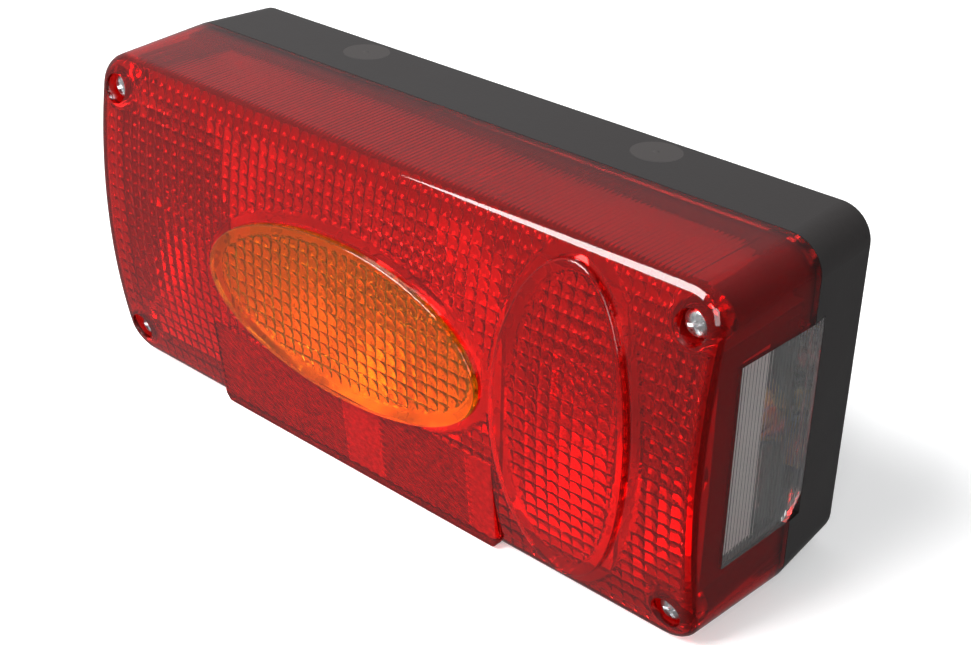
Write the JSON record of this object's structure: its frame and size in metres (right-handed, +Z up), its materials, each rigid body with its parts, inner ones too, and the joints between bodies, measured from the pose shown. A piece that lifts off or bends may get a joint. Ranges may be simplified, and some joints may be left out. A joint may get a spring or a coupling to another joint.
{
  "type": "trailer tail light",
  "caption": "Box-shaped combination tail light for a trailer: red lens with a raised amber oval and a raised red oval, black housing with rear studs, clear side window.",
  "frame": {"origin": "centre of the flat back of the housing, halfway between the two mounting studs", "axes": "+X to the right seen from the front, +Y into the vehicle along the studs, +Z up; the lens faces -Y"},
  "size_m": [0.22, 0.0871, 0.0982],
  "materials": {
    "black_plastic": "satin black moulded plastic",
    "seal_rubber": "soft black rubber",
    "red_lens": "glossy transparent red acrylic",
    "amber_lens": "glossy transparent amber acrylic",
    "clear_lens": "glossy clear acrylic",
    "reflector_white": "bright reflector coating",
    "zinc_steel": "zinc plated",
    "spring_steel": "drawn wire",
    "brass": "pressed and plated brass",
    "insulator": "brown hard paper with a brass stud",
    "bulb_glass": "clear blown glass"
  },
  "bodies": {
    "housing": {"housing": "black_plastic", "gasket": "seal_rubber", "reflector_tray": "reflector_white", "tray_screws": "zinc_steel", "earth_strip": "brass", "cable_grommet": "seal_rubber", "stud_left": "zinc_steel", "stud_right": "zinc_steel", "socket_stop": "zinc_steel", "spring_stop": "spring_steel", "feed_strip_stop": "brass", "socket_indicator": "zinc_steel", "spring_indicator": "spring_steel", "feed_strip_indicator": "brass", "socket_fog": "zinc_steel", "spring_fog": "spring_steel", "feed_strip_fog": "brass", "socket_plate": "zinc_steel", "spring_plate": "spring_steel", "feed_strip_plate": "brass"},
    "lens": {"lens_shell": "red_lens", "amber_lens": "amber_lens", "fog_lens": "red_lens", "reflex_reflector": "red_lens", "reflex_backing": "red_lens", "plate_window": "clear_lens"},
    "washer_top_left": {"lens_washer_top_left": "seal_rubber"},
    "screw_top_left": {"lens_screw_top_left": "zinc_steel"},
    "washer_top_right": {"lens_washer_top_right": "seal_rubber"},
    "screw_top_right": {"lens_screw_top_right": "zinc_steel"},
    "washer_bottom_left": {"lens_washer_bottom_left": "seal_rubber"},
    "screw_bottom_left": {"lens_screw_bottom_left": "zinc_steel"},
    "washer_bottom_right": {"lens_washer_bottom_right": "seal_rubber"},
    "screw_bottom_right": {"lens_screw_bottom_right": "zinc_steel"},
    "contact_stop": {"contact_stop": "insulator"},
    "bulb_stop": {"bulb_cap_stop": "brass", "bulb_glass_stop": "bulb_glass", "filament_stop": "spring_steel"},
    "contact_indicator": {"contact_indicator": "insulator"},
    "bulb_indicator": {"bulb_cap_indicator": "brass", "bulb_glass_indicator": "bulb_glass", "filament_indicator": "spring_steel"},
    "contact_fog": {"contact_fog": "insulator"},
    "bulb_fog": {"bulb_cap_fog": "brass", "bulb_glass_fog": "bulb_glass", "filament_fog": "spring_steel"},
    "contact_plate": {"contact_plate": "insulator"},
    "bulb_plate": {"bulb_cap_plate": "brass", "bulb_glass_plate": "bulb_glass", "filament_plate": "spring_steel"}
  },
  "joints": [
    {"name": "lens_lift", "type": "slide", "parent": "housing", "child": "lens", "axis": [0, -1, 0], "range_m": [0, 0.07]},
    {"name": "screw_top_left_turn", "type": "hinge", "parent": "washer_top_left", "child": "screw_top_left", "pos_m": [-0.1, -0.0575, 0.03925], "axis": [0, -1, 0], "range_deg": [0, 3600]},
    {"name": "screw_top_left_advance", "type": "slide", "parent": "lens", "child": "washer_top_left", "axis": [0, -1, 0], "range_m": [0, 0.0141]},
    {"name": "screw_top_right_turn", "type": "hinge", "parent": "washer_top_right", "child": "screw_top_right", "pos_m": [0.1, -0.0575, 0.03925], "axis": [0, -1, 0], "range_deg": [0, 3600]},
    {"name": "screw_top_right_advance", "type": "slide", "parent": "lens", "child": "washer_top_right", "axis": [0, -1, 0], "range_m": [0, 0.0141]},
    {"name": "screw_bottom_left_turn", "type": "hinge", "parent": "washer_bottom_left", "child": "screw_bottom_left", "pos_m": [-0.1, -0.0575, -0.03925], "axis": [0, -1, 0], "range_deg": [0, 3600]},
    {"name": "screw_bottom_left_advance", "type": "slide", "parent": "lens", "child": "washer_bottom_left", "axis": [0, -1, 0], "range_m": [0, 0.0141]},
    {"name": "screw_bottom_right_turn", "type": "hinge", "parent": "washer_bottom_right", "child": "screw_bottom_right", "pos_m": [0.1, -0.0575, -0.03925], "axis": [0, -1, 0], "range_deg": [0, 3600]},
    {"name": "screw_bottom_right_advance", "type": "slide", "parent": "lens", "child": "washer_bottom_right", "axis": [0, -1, 0], "range_m": [0, 0.0141]},
    {"name": "bulb_stop_push", "type": "slide", "parent": "housing", "child": "contact_stop", "axis": [0, 1, 0], "range_m": [0, 0.0015], "stiffness_N_per_m": 600, "springref_m": -0.004, "deforming": ["spring_stop"]},
    {"name": "bulb_stop_twist", "type": "hinge", "parent": "contact_stop", "child": "bulb_stop", "pos_m": [-0.09, -0.0185, 0], "axis": [0, -1, 0], "range_deg": [0, 20]},
    {"name": "bulb_indicator_push", "type": "slide", "parent": "housing", "child": "contact_indicator", "axis": [0, 1, 0], "range_m": [0, 0.0015], "stiffness_N_per_m": 600, "springref_m": -0.004, "deforming": ["spring_indicator"]},
    {"name": "bulb_indicator_twist", "type": "hinge", "parent": "contact_indicator", "child": "bulb_indicator", "pos_m": [-0.007, -0.0185, 0], "axis": [0, -1, 0], "range_deg": [0, 20]},
    {"name": "bulb_fog_push", "type": "slide", "parent": "housing", "child": "contact_fog", "axis": [0, 1, 0], "range_m": [0, 0.0015], "stiffness_N_per_m": 600, "springref_m": -0.004, "deforming": ["spring_fog"]},
    {"name": "bulb_fog_twist", "type": "hinge", "parent": "contact_fog", "child": "bulb_fog", "pos_m": [0.062, -0.0185, 0], "axis": [0, -1, 0], "range_deg": [0, 20]},
    {"name": "bulb_plate_push", "type": "slide", "parent": "housing", "child": "contact_plate", "axis": [0, 1, 0], "range_m": [0, 0.0015], "stiffness_N_per_m": 600, "springref_m": -0.004, "deforming": ["spring_plate"]},
    {"name": "bulb_plate_twist", "type": "hinge", "parent": "contact_plate", "child": "bulb_plate", "pos_m": [0.0945, -0.0185, 0], "axis": [0, -1, 0], "range_deg": [0, 20]}
  ],
  "couplings": [
    {"joint": "screw_top_left_turn", "follows": "screw_top_left_advance", "rad_per_m": 4456.2},
    {"joint": "screw_top_right_turn", "follows": "screw_top_right_advance", "rad_per_m": 4456.2},
    {"joint": "screw_bottom_left_turn", "follows": "screw_bottom_left_advance", "rad_per_m": 4456.2},
    {"joint": "screw_bottom_right_turn", "follows": "screw_bottom_right_advance", "rad_per_m": 4456.2}
  ]
}
